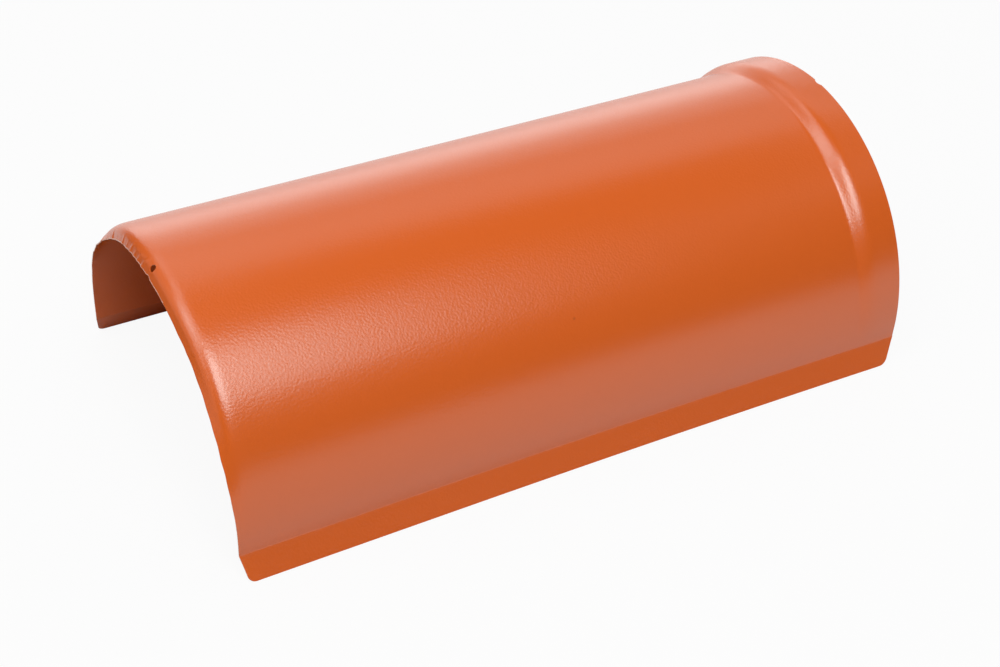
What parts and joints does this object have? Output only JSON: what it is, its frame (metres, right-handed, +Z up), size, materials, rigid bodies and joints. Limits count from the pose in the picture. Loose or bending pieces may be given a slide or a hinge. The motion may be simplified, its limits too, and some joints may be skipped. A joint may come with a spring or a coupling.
{
  "type": "half-round ridge cap, pressed steel",
  "caption": "Half-round ridge cap of pressed, coated sheet steel: an arch with drip flanges, a turned-in spigot end and a swaged socket collar.",
  "frame": {"origin": "on the ground under the middle of the cap: the centre of the bounding box's lower face", "axes": "+X along the ridge from the turned-in spigot end to the swaged socket end, +Y across the ridge, +Z up through the crest"},
  "size_m": [0.4, 0.2246, 0.1274],
  "materials": {
    "terracotta_coating": "satin"
  },
  "bodies": {
    "root": {"ridge_cap": "terracotta_coating"}
  },
  "joints": []
}
